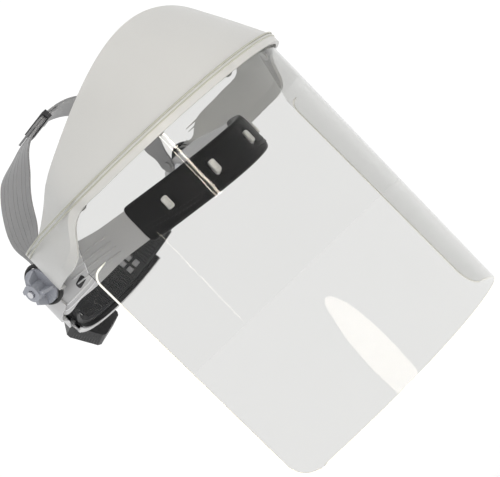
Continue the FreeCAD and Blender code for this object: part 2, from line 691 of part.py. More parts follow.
def crown_strip(start, end, lap):
    """Length of crown strap from its eye at start to its end, where it lies lap millimetres higher."""
    sections = []
    steps = 20
    half = CROWN_WIDTH / 2
    for step in range(steps + 1):
        turn = start + (end - start) * step / steps
        lift = lap * smooth_step(abs(turn - start), 50, 85)
        sine = math.sin(math.radians(turn))
        low = crown_place(turn, lift)
        outward_way = (crown_place(turn, lift + 1) - low).normalize()
        twist = math.radians(CROWN_TWIST) * smooth_step(sine, 0.1, 0.4) * (1 - smooth_step(sine, 0.7, 0.93))
        back_way = V(0, math.cos(twist), 0) + outward_way * math.sin(twist)
        rise = (outward_way * math.cos(twist) - V(0, math.sin(twist), 0)) * CROWN_THICKNESS
        reach = half * (CROWN_NECK + (1 - CROWN_NECK) * smooth_step(sine, 0.02, 0.3))
        edge = back_way * reach
        sections.append([low - edge, low - edge + rise, low + edge + rise, low + edge])
    return loft(sections)


def crown_eye(side):
    """Round lower end of a crown strap, with its pin hole."""
    inner = CROWN_HALF_WIDTH
    eye = across(CROWN_EYE_RADIUS, inner, inner + CROWN_THICKNESS, CROWN_PIN_Y, CROWN_PIN_Z)
    return eye if side > 0 else mirrored(eye)


def crown_strap(side, start, end, lap):
    """One half of the crown strap with the eye at its lower end."""
    strip = crown_strip(start, end, lap).fuse(crown_eye(side))
    return outward(strip.cut(crown_pins()))


def crown_pins():
    """Pins fixed in the crown strap's eyes that turn in the headband."""
    head_start = CROWN_HALF_WIDTH - CROWN_PIN_HEAD_DEPTH
    cap_start = PLATE_OUTER_X + 0.3
    cap_end = cap_start + CROWN_PIN_HEAD_DEPTH
    pin = across(CROWN_PIN_RADIUS, head_start, cap_end, CROWN_PIN_Y, CROWN_PIN_Z)
    head = across(CROWN_PIN_HEAD_RADIUS, head_start, CROWN_HALF_WIDTH, CROWN_PIN_Y, CROWN_PIN_Z)
    cap = across(CROWN_PIN_HEAD_RADIUS, cap_start, cap_end, CROWN_PIN_Y, CROWN_PIN_Z)
    return both_sides(outward(pin.fuse([head, cap])))


def crown_keeper():
    """Loop that holds the two crown straps together where they overlap."""
    centre = crown_place(KEEPER_ANGLE, CROWN_THICKNESS)
    ahead = crown_place(KEEPER_ANGLE + 1, CROWN_THICKNESS) - centre
    outer_width, slot_width = CROWN_WIDTH + 4.0, CROWN_WIDTH + 1.4
    outer_depth, slot_depth = 2 * CROWN_THICKNESS + 3.6, 2 * CROWN_THICKNESS + 1.4
    corner = V(-KEEPER_LENGTH / 2, -outer_width / 2, -outer_depth / 2)
    ring = Part.makeBox(KEEPER_LENGTH, outer_width, outer_depth, corner)
    ring = ring.cut(Part.makeBox(12.0, slot_width, slot_depth, V(-6, -slot_width / 2, -slot_depth / 2)))
    slope = math.degrees(math.atan2(ahead.z, ahead.x))
    ring.Placement = FreeCAD.Placement(centre, FreeCAD.Rotation(V(0, 1, 0), -slope))
    return outward(ring)


def build():
    """Every node's shape by name."""
    band = headband()
    clips = sweatband_clips()
    strap = rear_strap()
    knob = tension_knob()
    nut = knob_nut()
    return {
        "brow_guard": brow_guard(),
        "visor": visor(),
        "visor_studs": visor_studs(),
        "headband": band,
        "sweatband": sweatband(band, clips),
        "sweatband_clips": clips,
        "pivot_bolts": pivot_bolts(),
        "friction_washers": washers(TAB_RADIUS, PLATE_OUTER_X + PLATE_BOSS_HEIGHT, TAB_OUTER_X - TAB_THICKNESS),
        "outer_washers": washers(OUTER_WASHER_RADIUS, TAB_OUTER_X, TAB_OUTER_X + OUTER_WASHER_THICKNESS),
        "tension_knob_left": knob,
        "tension_knob_right": mirrored(knob),
        "knob_nut_left": nut,
        "knob_nut_right": mirrored(nut),
        "rear_strap_left": strap,
        "rear_strap_right": mirrored(strap),
        "strap_rivets": strap_rivets(),
        "rear_pad": tilted(rear_pad()),
        "housing_plate": tilted(housing_plate()),
        "housing_cover": tilted(housing_cover()),
        "housing_screws": tilted(housing_screws()),
        "rack_strap_left": tilted(rack_strap(1, 1, 0.5)),
        "rack_strap_right": tilted(rack_strap(-1, -1, 0.0)),
        "pinion_shaft": tilted(pinion_shaft()),
        "ratchet_knob": tilted(ratchet_knob()),
        "knob_screw": tilted(knob_screw()),
        "click_spring": tilted(click_spring()),
        "crown_strap_left": crown_strap(1, 180.0, 74.0, CROWN_LAP),
        "crown_strap_right": crown_strap(-1, 0.0, 93.0, 0.0),
        "crown_keeper": crown_keeper(),
        "crown_pins": crown_pins(),
    }


def main():
    os.makedirs("parts", exist_ok=True)
    for name, shape in build().items():
        shape.exportStep(f"parts/{name}.step")
        print(f"{name}: {shape.Volume:.0f} mm3, {len(shape.Solids)} solid(s), valid {shape.isValid()}")


if __name__ == "__main__":
    main()
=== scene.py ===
"""Face shield: finishes, padding and fine detail on the fixed CAD model, laid out as an add-on."""

import math

import bmesh
import bpy
from mathutils import Matrix, Vector


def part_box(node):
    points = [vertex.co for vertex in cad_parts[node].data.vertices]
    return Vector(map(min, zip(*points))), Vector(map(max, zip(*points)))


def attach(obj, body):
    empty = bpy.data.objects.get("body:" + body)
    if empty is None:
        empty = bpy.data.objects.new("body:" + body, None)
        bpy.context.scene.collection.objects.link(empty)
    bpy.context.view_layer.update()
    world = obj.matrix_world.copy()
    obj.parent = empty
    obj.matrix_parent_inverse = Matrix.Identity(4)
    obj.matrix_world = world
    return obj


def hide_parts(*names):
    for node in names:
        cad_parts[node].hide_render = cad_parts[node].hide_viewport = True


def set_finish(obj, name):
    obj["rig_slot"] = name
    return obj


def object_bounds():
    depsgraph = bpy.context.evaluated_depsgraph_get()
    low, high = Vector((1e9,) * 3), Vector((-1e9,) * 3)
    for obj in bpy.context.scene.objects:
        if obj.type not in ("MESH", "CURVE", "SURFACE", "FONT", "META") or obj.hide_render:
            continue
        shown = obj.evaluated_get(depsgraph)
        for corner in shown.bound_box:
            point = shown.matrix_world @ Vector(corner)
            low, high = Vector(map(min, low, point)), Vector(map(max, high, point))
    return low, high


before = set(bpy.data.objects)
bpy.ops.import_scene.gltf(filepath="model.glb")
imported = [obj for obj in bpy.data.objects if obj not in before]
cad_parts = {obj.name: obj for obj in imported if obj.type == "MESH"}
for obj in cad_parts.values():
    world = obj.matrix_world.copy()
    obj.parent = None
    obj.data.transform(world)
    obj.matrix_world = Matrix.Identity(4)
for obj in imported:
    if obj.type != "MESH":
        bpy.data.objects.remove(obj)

bl_info = {
    "name": "Face shield finish",
    "version": (1, 0, 0),
    "blender": (4, 5, 0),
    "location": "3D View > Sidebar > Face shield",
    "description": "Builds the padding, ribs, stitches and materials of a face shield",
    "category": "Object",
}

CAD_LOW, CAD_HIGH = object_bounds()
MM = 0.001

# The headband's plan is half an ellipse in front of straight sides.
BAND_THICKNESS = 2.0 * MM
BAND_HALF_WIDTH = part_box("headband")[1].x - 4.5 * MM
BAND_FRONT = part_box("headband")[0].y + BAND_THICKNESS / 2
BAND_CENTRE_Y = -15.0 * MM
PIVOT_Y = 15.0 * MM

# Headband details: lengthwise ridges, and the rim and slot on each pivot plate.
BAND_RIDGE_OFFSETS = (-8.0, -3.0, 2.0, 7.0)
BAND_RIDGE_FRONT = -52 * MM
BAND_RIDGE_BACK = 2 * MM
PLATE_RIM_INSETS = (0.0, 3.2)
PLATE_RIM_PLAN = (
    (-22, -24.5), (-8, -25.6), (6, -25.4), (20, -25.2), (28, -24.6),
    (32.5, -23.0), (34.6, -19), (34.8, -8), (34.8, 0),
)
PLATE_END_Y = 30
PLATE_SLOT_Y = -4 * MM
PLATE_SLOT_Z = -17.5 * MM
PLATE_SLOT_LEAN = 0.15
CLIP_ANGLES = (-41.0, -15.0, 15.0, 41.0)

# The visor is part of a cylinder; its radius is to the middle of the sheet.
VISOR_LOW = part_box("visor")[0].z
VISOR_CENTRE_Y = -30.0 * MM
VISOR_RADIUS = VISOR_CENTRE_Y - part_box("visor")[0].y - 0.5 * MM

# The visor's outline, in degrees round the cylinder and millimetres up and down.
VISOR_EDGE_ANGLE = 69.2
VISOR_EDGE_SPREAD = 2.9
VISOR_BOTTOM_CORNER = 18.0
VISOR_BOTTOM_ANGLE = 61
VISOR_TOP_CORNER = 8.0
VISOR_TOP_CORNER_Z = -33.0
VISOR_SHOULDER_END = (66.0, -24.5)

# The brow guard's wall in plan: an arc in front and a wing down to each pivot.
GUARD_RADIUS = VISOR_CENTRE_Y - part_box("brow_guard")[0].y
GUARD_FRONT_ANGLE = 64
GUARD_WING = (
    (138.0, -68.0), (131.5, -45.0), (126.5, -33.5),
    (121.0, -24.0), (109.5, -10.0), (100.5, -2.5),
)
GUARD_CREASE_HEIGHTS = (16.6, 19.4)

# The ratchet is built round its own tilted upright axis.
REAR_CENTRE = Vector((0.0, 32.0, -15.0)) * MM
REAR_TILT = math.radians(12.0)
PAD_INNER_RADIUS = 65.0 * MM
PAD_RIB_SPANS = ((-69, -41), (-27, 27), (41, 69))
WINDOW_ANGLE = 34.0
WINDOW_COLUMNS = (-2.9, 2.9)
WINDOW_ROWS = (-2.7, 4.7)
KNOB_SIDES = 5
KNOB_FIRST_ANGLE = 30.0
KNOB_REACH = 23.0 * MM
KNOB_MIDDLE = 94.4 * MM

# The crown strap's arch runs between its two pins.
CROWN_PIN = Vector((81.9, 22.5, 8.5)) * MM
CROWN_TOP = 91.0 * MM
CROWN_FULLNESS = 0.93
CROWN_THICKNESS = 1.6 * MM
CROWN_HALF_WIDTH = 13.5 * MM
CROWN_NECK = 0.42
CROWN_TWIST = math.radians(27.0)
CROWN_LAP = 1.95 * MM
CROWN_TOP_Y = -3.0 * MM
CROWN_RIDGE_OFFSETS = (-0.7, -0.45, -0.1, 0.15, 0.5, 0.75)
CROWN_RIDGE_SPANS = ((9.0, 72.0, 0.0), (171.0, 78.0, CROWN_LAP))

# Rubber rim that stands out round each tension knob.
WASHER_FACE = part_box("outer_washers")[1].x - 1.6 * MM
WASHER_RIM_RADIUS = 15.4 * MM

# Warm lamps that show as streaks in the visor: name, shape, angle from the camera, lowest and
# highest point, width, distance from the visor's axis and power.
WARM = (1.0, 0.92, 0.8)
STREAKS = (
    ("streak_near", "RECTANGLE", 25.2, 0.0, 0.11, 0.04, 1.30, 0.9),
    ("streak_pair", "RECTANGLE", 28.4, 0.0, 0.11, 0.04, 1.30, 0.9),
    ("streak_long", "RECTANGLE", -11.0, -0.14, 0.02, 0.012, 1.30, 0.09),
    ("leaf", "ELLIPSE", 30.0, -0.338, -0.17, 0.24, 0.75, 1.4),
)

# The camera's target and lens, and the floor's size.
CAMERA_TARGET = Vector((31.1, -40.0, -78.6)) * MM
CAMERA_LENS = 128.2
CAMERA_SENSOR = 36.0
FLOOR_RADIUS = 9.0
FLOOR_CORNERS = 96


# ---------------------------------------------------------------- places on the model


def smooth_step(value, start, end):
    """0 before start, 1 after end, with a gentle run between."""
    share = min(1.0, max(0.0, (value - start) / (end - start)))
    return share * share * (3 - 2 * share)


def band_place(angle):
    """Point and outward normal of the headband's middle line, angle degrees from straight ahead."""
    turn = math.radians(angle)
    half_length = BAND_CENTRE_Y - BAND_FRONT
    x = BAND_HALF_WIDTH * math.sin(turn)
    y = BAND_CENTRE_Y - half_length * math.cos(turn)
    normal = Vector((x / BAND_HALF_WIDTH ** 2, (y - BAND_CENTRE_Y) / half_length ** 2, 0)).normalized()
    return Vector((x, y, 0)), normal


def band_height(y):
    """Height of the headband's middle line."""
    if y < PIVOT_Y:
        return (-8.0 - 18.0 * ((PIVOT_Y - y) / MM / 133.0) ** 1.3) * MM
    return (-8.0 - 4.8 * ((y - PIVOT_Y) / MM / 34.0) ** 1.3) * MM


def band_side_path(side, start_y, end_y, count):
    """Points and outward normals along one side of the headband, from front to back."""
    places = []
    for step in range(count + 1):
        y = start_y + (end_y - start_y) * step / count
        if y < BAND_CENTRE_Y:
            angle = math.degrees(math.acos((BAND_CENTRE_Y - y) / (BAND_CENTRE_Y - BAND_FRONT)))
            point, normal = band_place(side * angle)
        else:
            point, normal = Vector((side * BAND_HALF_WIDTH, y, 0)), Vector((side, 0, 0))
        places.append((point + Vector((0, 0, band_height(y))), normal))
    return places


def rear_place(angle, radius, height):
    """Point in the ratchet's own frame, with the angle from straight back towards +X."""
    turn = math.radians(angle)
    local = Vector((radius * math.sin(turn), radius * math.cos(turn), height))
    return REAR_CENTRE + Matrix.Rotation(-REAR_TILT, 3, "X") @ local


def crown_ridge_place(turn, lap, offset):
    """Place and normal of a ridge on the strap's outer face; offset is a share of its half width."""
    sine = math.sin(math.radians(turn))
    lift = lap * smooth_step(abs(turn - 180.0), 50, 85)
    low = crown_place(turn, lift)
    outward_way = (crown_place(turn, lift + MM) - low).normalized()
    twist = CROWN_TWIST * smooth_step(sine, 0.1, 0.4) * (1 - smooth_step(sine, 0.7, 0.93))
    back_way = Vector((0, math.cos(twist), 0)) + outward_way * math.sin(twist)
    normal = outward_way * math.cos(twist) - Vector((0, math.sin(twist), 0))
    reach = CROWN_HALF_WIDTH * (CROWN_NECK + (1 - CROWN_NECK) * smooth_step(sine, 0.02, 0.3))
    return low + normal * CROWN_THICKNESS + back_way * (offset * reach), normal


def crown_place(turn, lift):
    """Point on the crown strap's arch, lift above its inner surface; turn runs from -X to +X."""
    angle = math.radians(turn)
    cosine, sine = math.cos(angle), abs(math.sin(angle))
    x = -(CROWN_PIN.x + lift) * math.copysign(abs(cosine) ** CROWN_FULLNESS, cosine)
    z = CROWN_PIN.z + (CROWN_TOP - CROWN_PIN.z + lift) * sine ** CROWN_FULLNESS
    return Vector((x, CROWN_PIN.y + (CROWN_TOP_Y - CROWN_PIN.y) * sine, z))


# ---------------------------------------------------------------- materials


def add_node(tree, kind, **values):
    """A node with its plain settings and unlinked inputs filled in."""
    node = tree.nodes.new(kind)
    for name, value in values.items():
        if name in node.inputs:
            node.inputs[name].default_value = value
        else:
            setattr(node, name, value)
    return node


def surface(name, color, roughness, patch=0.06, grain=900.0, grain_depth=0.00008, uneven=0.06,
            **sockets):
    """Principled material with faint patches of colour, uneven gloss and a fine moulded grain."""
    material = bpy.data.materials.new(name)
    material.use_nodes = True
    tree = material.node_tree
    shader = tree.nodes["Principled BSDF"]
    for socket, value in sockets.items():
        shader.inputs[socket.replace("_", " ")].default_value = value
    coords = add_node(tree, "ShaderNodeTexCoord")
    broad = add_node(tree, "ShaderNodeTexNoise", Scale=22.0, Detail=4.0)
    fine = add_node(tree, "ShaderNodeTexNoise", Scale=grain, Detail=3.0)
    tree.links.new(coords.outputs["Object"], broad.inputs["Vector"])
    tree.links.new(coords.outputs["Object"], fine.inputs["Vector"])
    mix = add_node(tree, "ShaderNodeMix", data_type="RGBA")
    mix.inputs[6].default_value = (*[c * (1 - patch) for c in color], 1)
    mix.inputs[7].default_value = (*[min(1.0, c * (1 + patch)) for c in color], 1)
    tree.links.new(broad.outputs["Fac"], mix.inputs[0])
    tree.links.new(mix.outputs[2], shader.inputs["Base Color"])
    spread = add_node(tree, "ShaderNodeMapRange")
    spread.inputs["To Min"].default_value = max(0.0, roughness - uneven)
    spread.inputs["To Max"].default_value = min(1.0, roughness + uneven)
    tree.links.new(fine.outputs["Fac"], spread.inputs["Value"])
    tree.links.new(spread.outputs["Result"], shader.inputs["Roughness"])
    bump = add_node(tree, "ShaderNodeBump", Strength=0.5, Distance=grain_depth)
    tree.links.new(fine.outputs["Fac"], bump.inputs["Height"])
    tree.links.new(bump.outputs["Normal"], shader.inputs["Normal"])
    return material


def milky_plastic(color):
    """Milky moulded plastic of the brow guard: lets some light through."""
    return surface("milky_plastic", color, 0.32, patch=0.02, grain=500.0, grain_depth=0.00004,
                   Transmission_Weight=0.35, IOR=1.45)


def clear_sheet(color):
    """Clear sheet of the visor, very slightly grey."""
    return surface("clear_sheet", color, 0.0, patch=0.01, grain=40.0, grain_depth=0.000002,
                   uneven=0.001, Transmission_Weight=1.0, IOR=1.2)


def grained_vinyl(color):
    """Black padded vinyl with a small cell grain."""
    material = surface("grained_vinyl", color, 0.42, patch=0.2, grain=1400.0, grain_depth=0.00005,
                       Specular_IOR_Level=0.15)
    tree = material.node_tree
    coords = next(n for n in tree.nodes if n.type == "TEX_COORD")
    cells = add_node(tree, "ShaderNodeTexVoronoi", Scale=620.0, feature="DISTANCE_TO_EDGE")
    tree.links.new(coords.outputs["Object"], cells.inputs["Vector"])
    shader = tree.nodes["Principled BSDF"]
    first = shader.inputs["Normal"].links[0].from_node
    second = add_node(tree, "ShaderNodeBump", Strength=0.45, Distance=0.00012)
    tree.links.new(cells.outputs["Distance"], second.inputs["Height"])
    tree.links.new(first.outputs["Normal"], second.inputs["Normal"])
    tree.links.new(second.outputs["Normal"], shader.inputs["Normal"])
    return material


def finish_nodes(material, slot, *nodes):
    """Puts a material on CAD nodes."""
    for name in nodes:
        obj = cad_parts[name]
        obj.data.materials.clear()
        obj.data.materials.append(material)
        obj["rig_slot"] = slot


# ---------------------------------------------------------------- mesh helpers


def new_piece(name, verts, faces, material, smooth=True):
    """Mesh object at the origin with outward faces."""
    mesh = bpy.data.meshes.new(name)
    mesh.from_pydata([tuple(v) for v in verts], [], faces)
    mesh.materials.append(material)
    mesh.validate()
    for polygon in mesh.polygons:
        polygon.use_smooth = smooth
    obj = bpy.data.objects.new(name, mesh)
    bpy.context.scene.collection.objects.link(obj)
    turn_outward(obj)
    return obj


def turn_outward(obj):
    """Makes every face of a closed mesh point out."""
    work = bmesh.new()
    work.from_mesh(obj.data)
    bmesh.ops.recalc_face_normals(work, faces=work.faces)
    work.to_mesh(obj.data)
    work.free()


def ring_mesh(rings):
    """Vertices and faces of a closed tube through rings of equal length, with a cap at each end."""
    count = len(rings[0])
    verts = [point for ring in rings for point in ring]
    faces = []
    for row in range(len(rings) - 1):
        for column in range(count):
            following = (column + 1) % count
            faces.append((
                row * count + column,
                row * count + following,
                (row + 1) * count + following,
                (row + 1) * count + column,
            ))
    faces.append(tuple(range(count)))
    faces.append(tuple(range((len(rings) - 1) * count, len(rings) * count)))
    return verts, faces


def ridge_rings(places, width, height, sides=8):
    """Rings of a rounded ridge along (point, outward normal) places, tapering at its ends."""
    rings = []
    last = len(places) - 1
    for index, (point, normal) in enumerate(places):
        before = places[max(0, index - 1)][0]
        after = places[min(last, index + 1)][0]
        across = (after - before).normalized().cross(normal).normalized()
        share = 0.35 if index in (0, last) else 1.0
        ring = []
        for corner in range(sides):
            turn = 2 * math.pi * corner / sides
            sideways = across * (width / 2 * share * math.cos(turn))
            ring.append(point + sideways + normal * (height * share * math.sin(turn)))
        rings.append(ring)
    return rings


def joined_piece(name, ring_sets, material):
    """One piece made of several closed tubes, each given by its rings."""
    verts = []
    faces = []
    for rings in ring_sets:
        some_verts, some_faces = ring_mesh(rings)
        start = len(verts)
        verts += some_verts
        faces += [tuple(start + index for index in face) for face in some_faces]
    return new_piece(name, verts, faces, material)


def ridges(name, paths, width, height, material):
    """One piece made of several ridges."""
    return joined_piece(name, [ridge_rings(places, width, height) for places in paths], material)


def rounded_outline(width, height, corner, count=6):
    """Corner-rounded rectangle as (sideways, upright) pairs."""
    outline = []
    for quarter, (sx, sy) in enumerate(((1, 1), (-1, 1), (-1, -1), (1, -1))):
        for step in range(count):
            turn = math.pi / 2 * (quarter + step / (count - 1))
            x = sx * (width / 2 - corner) + corner * math.cos(turn)
            y = sy * (height / 2 - corner) + corner * math.sin(turn)
            outline.append((x, y))
    return outline


def plate_rings(centre, normal, up, size, levels):
    """Rings of a rounded plate; levels holds (scale, depth along the normal) pairs."""
    side = up.cross(normal).normalized()
    upright = normal.cross(side).normalized()
    rings = []
    for scale, depth in levels:
        outline = rounded_outline(size[0] * scale, size[1] * scale, size[2] * scale)
        rings.append([centre + side * x + upright * y + normal * depth for x, y in outline])
    return rings


def plates(name, places, size, levels, material):
    """One piece made of several rounded plates at (centre, normal, up) places."""
    ring_sets = [plate_rings(centre, normal, up, size, levels) for centre, normal, up in places]
    return joined_piece(name, ring_sets, material)


# ---------------------------------------------------------------- repeated detail


def repeat_tree(kind, material):
    """Geometry Nodes tree that sets small beads or bars along a curve."""
    tree = bpy.data.node_groups.new("repeat_" + kind, "GeometryNodeTree")
    face = tree.interface
    face.new_socket("Geometry", in_out="INPUT", socket_type="NodeSocketGeometry")
    for socket in ("Pitch", "Length", "Width", "Depth"):
        face.new_socket(socket, in_out="INPUT", socket_type="NodeSocketFloat")
    face.new_socket("Up", in_out="INPUT", socket_type="NodeSocketVector")
    face.new_socket("Geometry", in_out="OUTPUT", socket_type="NodeSocketGeometry")
    given = add_node(tree, "NodeGroupInput")
    made = add_node(tree, "NodeGroupOutput")
    to_curve = add_node(tree, "GeometryNodeMeshToCurve")
    resample = add_node(tree, "GeometryNodeResampleCurve", mode="LENGTH")
    tangent = add_node(tree, "GeometryNodeInputTangent")
    upright = add_node(tree, "FunctionNodeAlignRotationToVector", axis="Z")
    along = add_node(tree, "FunctionNodeAlignRotationToVector", axis="X", pivot_axis="Z")
    size = add_node(tree, "ShaderNodeCombineXYZ")
    place = add_node(tree, "GeometryNodeInstanceOnPoints")
    real = add_node(tree, "GeometryNodeRealizeInstances")
    finish = add_node(tree, "GeometryNodeSetMaterial")
    finish.inputs["Material"].default_value = material
    if kind == "bead":
        unit = add_node(tree, "GeometryNodeMeshUVSphere", Segments=10, Rings=6, Radius=0.5)
    else:
        unit = add_node(tree, "GeometryNodeMeshCylinder", Vertices=8, Radius=0.5, Depth=1.0)
    link = tree.links.new
    link(given.outputs["Geometry"], to_curve.inputs["Mesh"])
    link(to_curve.outputs["Curve"], resample.inputs["Curve"])
    link(given.outputs["Pitch"], resample.inputs["Length"])
    link(given.outputs["Up"], upright.inputs["Vector"])
    link(upright.outputs["Rotation"], along.inputs["Rotation"])
    link(tangent.outputs["Tangent"], along.inputs["Vector"])
    link(resample.outputs["Curve"], place.inputs["Points"])
    link(unit.outputs["Mesh"], place.inputs["Instance"])
    link(along.outputs["Rotation"], place.inputs["Rotation"])
    link(given.outputs["Length"], size.inputs["X"])
    link(given.outputs["Depth"], size.inputs["Y"])
    link(given.outputs["Width"], size.inputs["Z"])
    link(size.outputs["Vector"], place.inputs["Scale"])
    link(place.outputs["Instances"], real.inputs["Geometry"])
    link(real.outputs["Geometry"], finish.inputs["Geometry"])
    link(finish.outputs["Geometry"], made.inputs["Geometry"])
    return tree


def repeat_along(name, lines, kind, pitch, size, up, material):
    """Beads or bars every pitch along lines; size is (along the line, across it, upwards)."""
    verts = []
    edges = []
    for line in lines:
        start = len(verts)
        verts += [tuple(point) for point in line]
        edges += [(start + index, start + index + 1) for index in range(len(line) - 1)]
    mesh = bpy.data.meshes.new(name + "_line")
    mesh.from_pydata(verts, edges, [])
    source = bpy.data.objects.new(name + "_line", mesh)
    bpy.context.scene.collection.objects.link(source)
    tree = repeat_tree(kind, material)
    modifier = source.modifiers.new("repeat", "NODES")
    modifier.node_group = tree
    inputs = [item for item in tree.interface.items_tree if item.in_out == "INPUT"]
    ids = {item.name: item.identifier for item in inputs}
    modifier[ids["Pitch"]] = pitch
    modifier[ids["Length"]] = size[0]
    modifier[ids["Depth"]] = size[1]
    modifier[ids["Width"]] = size[2]
    modifier[ids["Up"]] = tuple(up)
    bpy.context.view_layer.update()
    graph = bpy.context.evaluated_depsgraph_get()
    result = bpy.data.meshes.new_from_object(source.evaluated_get(graph))
    result.name = name
    bpy.data.objects.remove(source)
    for polygon in result.polygons:
        polygon.use_smooth = True
    obj = bpy.data.objects.new(name, result)
    bpy.context.scene.collection.objects.link(obj)
    return obj


# ---------------------------------------------------------------- sizes a user may change


class FACESHIELD_PG_visor(bpy.types.PropertyGroup):
    """Visor and brow guard."""

    sheet: bpy.props.FloatVectorProperty(
        name="Sheet", description="Tint of the clear sheet", size=3, subtype="COLOR",
        default=(0.73, 0.73, 0.72))
    guard: bpy.props.FloatVectorProperty(
        name="Guard", description="Colour of the milky brow guard", size=3, subtype="COLOR",
        default=(0.62, 0.62, 0.605))
    # The edge's glow is painted light: the trim emits a little light so that it shows as a bright line
    # along the sheet's edge.
    edge: bpy.props.FloatVectorProperty(
        name="Edge", description="Colour of the sheet's polished edge", size=3, subtype="COLOR",
        default=(0.86, 0.84, 0.76))
    # The crease colour is partly painted shade: the raised lines are darkened to show the shadow line
    # under the guard's lip.
    crease: bpy.props.FloatVectorProperty(
        name="Crease", description="Colour of the lines moulded above the guard's rim", size=3,
        subtype="COLOR", default=(0.36, 0.36, 0.30))
    edge_width: bpy.props.FloatProperty(
        name="Edge width", description="Width of the sheet's bright edge", unit="LENGTH",
        default=0.0017)


class FACESHIELD_PG_band(bpy.types.PropertyGroup):
    """Headband, rear straps and crown strap."""

    plastic: bpy.props.FloatVectorProperty(
        name="Plastic", description="Colour of the grey plastic", size=3, subtype="COLOR",
        default=(0.5, 0.5, 0.505))
    ridge_width: bpy.props.FloatProperty(
        name="Ridge width", description="Width of a moulded ridge", unit="LENGTH", default=0.0016)
    ridge_height: bpy.props.FloatProperty(
        name="Ridge height", description="How far a ridge stands proud", unit="LENGTH",
        default=0.0006)


class FACESHIELD_PG_sweatband(bpy.types.PropertyGroup):
    """Padded sweatband."""

    vinyl: bpy.props.FloatVectorProperty(
        name="Vinyl", description="Colour of the sweatband", size=3, subtype="COLOR",
        default=(0.004, 0.004, 0.0045))
    half_height: bpy.props.FloatProperty(
        name="Half height", description="Half the sweatband's height", unit="LENGTH", default=0.016)
    half_angle: bpy.props.FloatProperty(
        name="Half angle", description="How far it wraps round from the middle, in degrees",
        default=57.5)
    stitch_pitch: bpy.props.FloatProperty(
        name="Stitch pitch", description="Distance from stitch to stitch", unit="LENGTH",
        default=0.003)


class FACESHIELD_PG_rear(bpy.types.PropertyGroup):
    """Rear pad and ratchet."""

    rubber: bpy.props.FloatVectorProperty(
        name="Rubber", description="Colour of the rear pad", size=3, subtype="COLOR",
        default=(0.035, 0.036, 0.038))
    knob: bpy.props.FloatVectorProperty(
        name="Knob", description="Colour of the ratchet knob", size=3, subtype="COLOR",
        default=(0.012, 0.012, 0.013))
    rib_pitch: bpy.props.FloatProperty(
        name="Rib pitch", description="Distance from rib to rib on the pad", unit="LENGTH",
        default=0.0022)


class FACESHIELD_PG_stage(bpy.types.PropertyGroup):
    """Floor, lights and camera."""

    floor_gap: bpy.props.FloatProperty(
        name="Floor gap", description="Gap from the object to the floor", unit="LENGTH",
        default=0.12)
    azimuth: bpy.props.FloatProperty(
        name="Azimuth", description="Camera's angle round the object, in degrees", default=-44.4)
    elevation: bpy.props.FloatProperty(
        name="Elevation", description="Camera's angle above the horizon, in degrees", default=-0.5)
    roll: bpy.props.FloatProperty(
        name="Roll", description="How far the camera is rolled, in degrees", default=43.8)
    distance: bpy.props.FloatProperty(
        name="Distance", description="Camera's distance from its target", unit="LENGTH",
        default=1.332)


# ---------------------------------------------------------------- pieces and operators


def visor_place(angle, height):
    """Point and outward normal on the middle of the visor's sheet."""
    turn = math.radians(angle)
    normal = Vector((math.sin(turn), -math.cos(turn), 0))
    centre = Vector((0, VISOR_CENTRE_Y, height))
    return centre + normal * VISOR_RADIUS, normal


def visor_outline(side):
    """Side edge of the visor, from its round bottom corner up to its shoulder."""
    per_degree = VISOR_RADIUS / MM * math.pi / 180
    edge_start = VISOR_LOW / MM + VISOR_BOTTOM_CORNER
    top_angle = VISOR_EDGE_ANGLE + VISOR_EDGE_SPREAD
    places = []
    for step in range(9):
        turn = math.pi / 2 * step / 8
        inset = VISOR_BOTTOM_CORNER - VISOR_BOTTOM_CORNER * math.sin(turn)
        height = edge_start - VISOR_BOTTOM_CORNER * math.cos(turn)
        places.append((VISOR_EDGE_ANGLE - inset / per_degree, height))
    for step in range(1, 25):
        share = step / 24
        height = edge_start + (VISOR_TOP_CORNER_Z - edge_start) * share
        places.append((VISOR_EDGE_ANGLE + VISOR_EDGE_SPREAD * share, height))
    for step in range(1, 7):
        turn = math.pi / 2 * step / 6
        inset = VISOR_TOP_CORNER - VISOR_TOP_CORNER * math.cos(turn)
        height = VISOR_TOP_CORNER_Z + VISOR_TOP_CORNER * math.sin(turn)
        places.append((top_angle - inset / per_degree, height))
    places.append(VISOR_SHOULDER_END)
    return [visor_place(side * angle, height * MM) for angle, height in places]


def visor_bottom():
    """Bottom edge of the visor between its corners."""
    angles = range(-VISOR_BOTTOM_ANGLE, VISOR_BOTTOM_ANGLE + 1, 2)
    return [visor_place(angle, VISOR_LOW) for angle in angles]


def guard_crease(height):
    """Line at one height along the plan of the guard's rim and wings."""
    wing = [Vector((x, y, 0)) * MM for x, y in GUARD_WING]
    front = []
    for angle in range(-GUARD_FRONT_ANGLE, GUARD_FRONT_ANGLE + 1, 4):
        turn = math.radians(angle)
        x = math.sin(turn) * GUARD_RADIUS
        y = VISOR_CENTRE_Y - math.cos(turn) * GUARD_RADIUS
        front.append(Vector((x, y, 0)))
    points = [Vector((-p.x, p.y, 0)) for p in reversed(wing)] + front + wing
    places = []
    for index, point in enumerate(points):
        ahead = points[min(len(points) - 1, index + 1)] - points[max(0, index - 1)]
        normal = Vector((ahead.y, -ahead.x, 0)).normalized()
        places.append((point + Vector((0, 0, height)), normal))
    return places


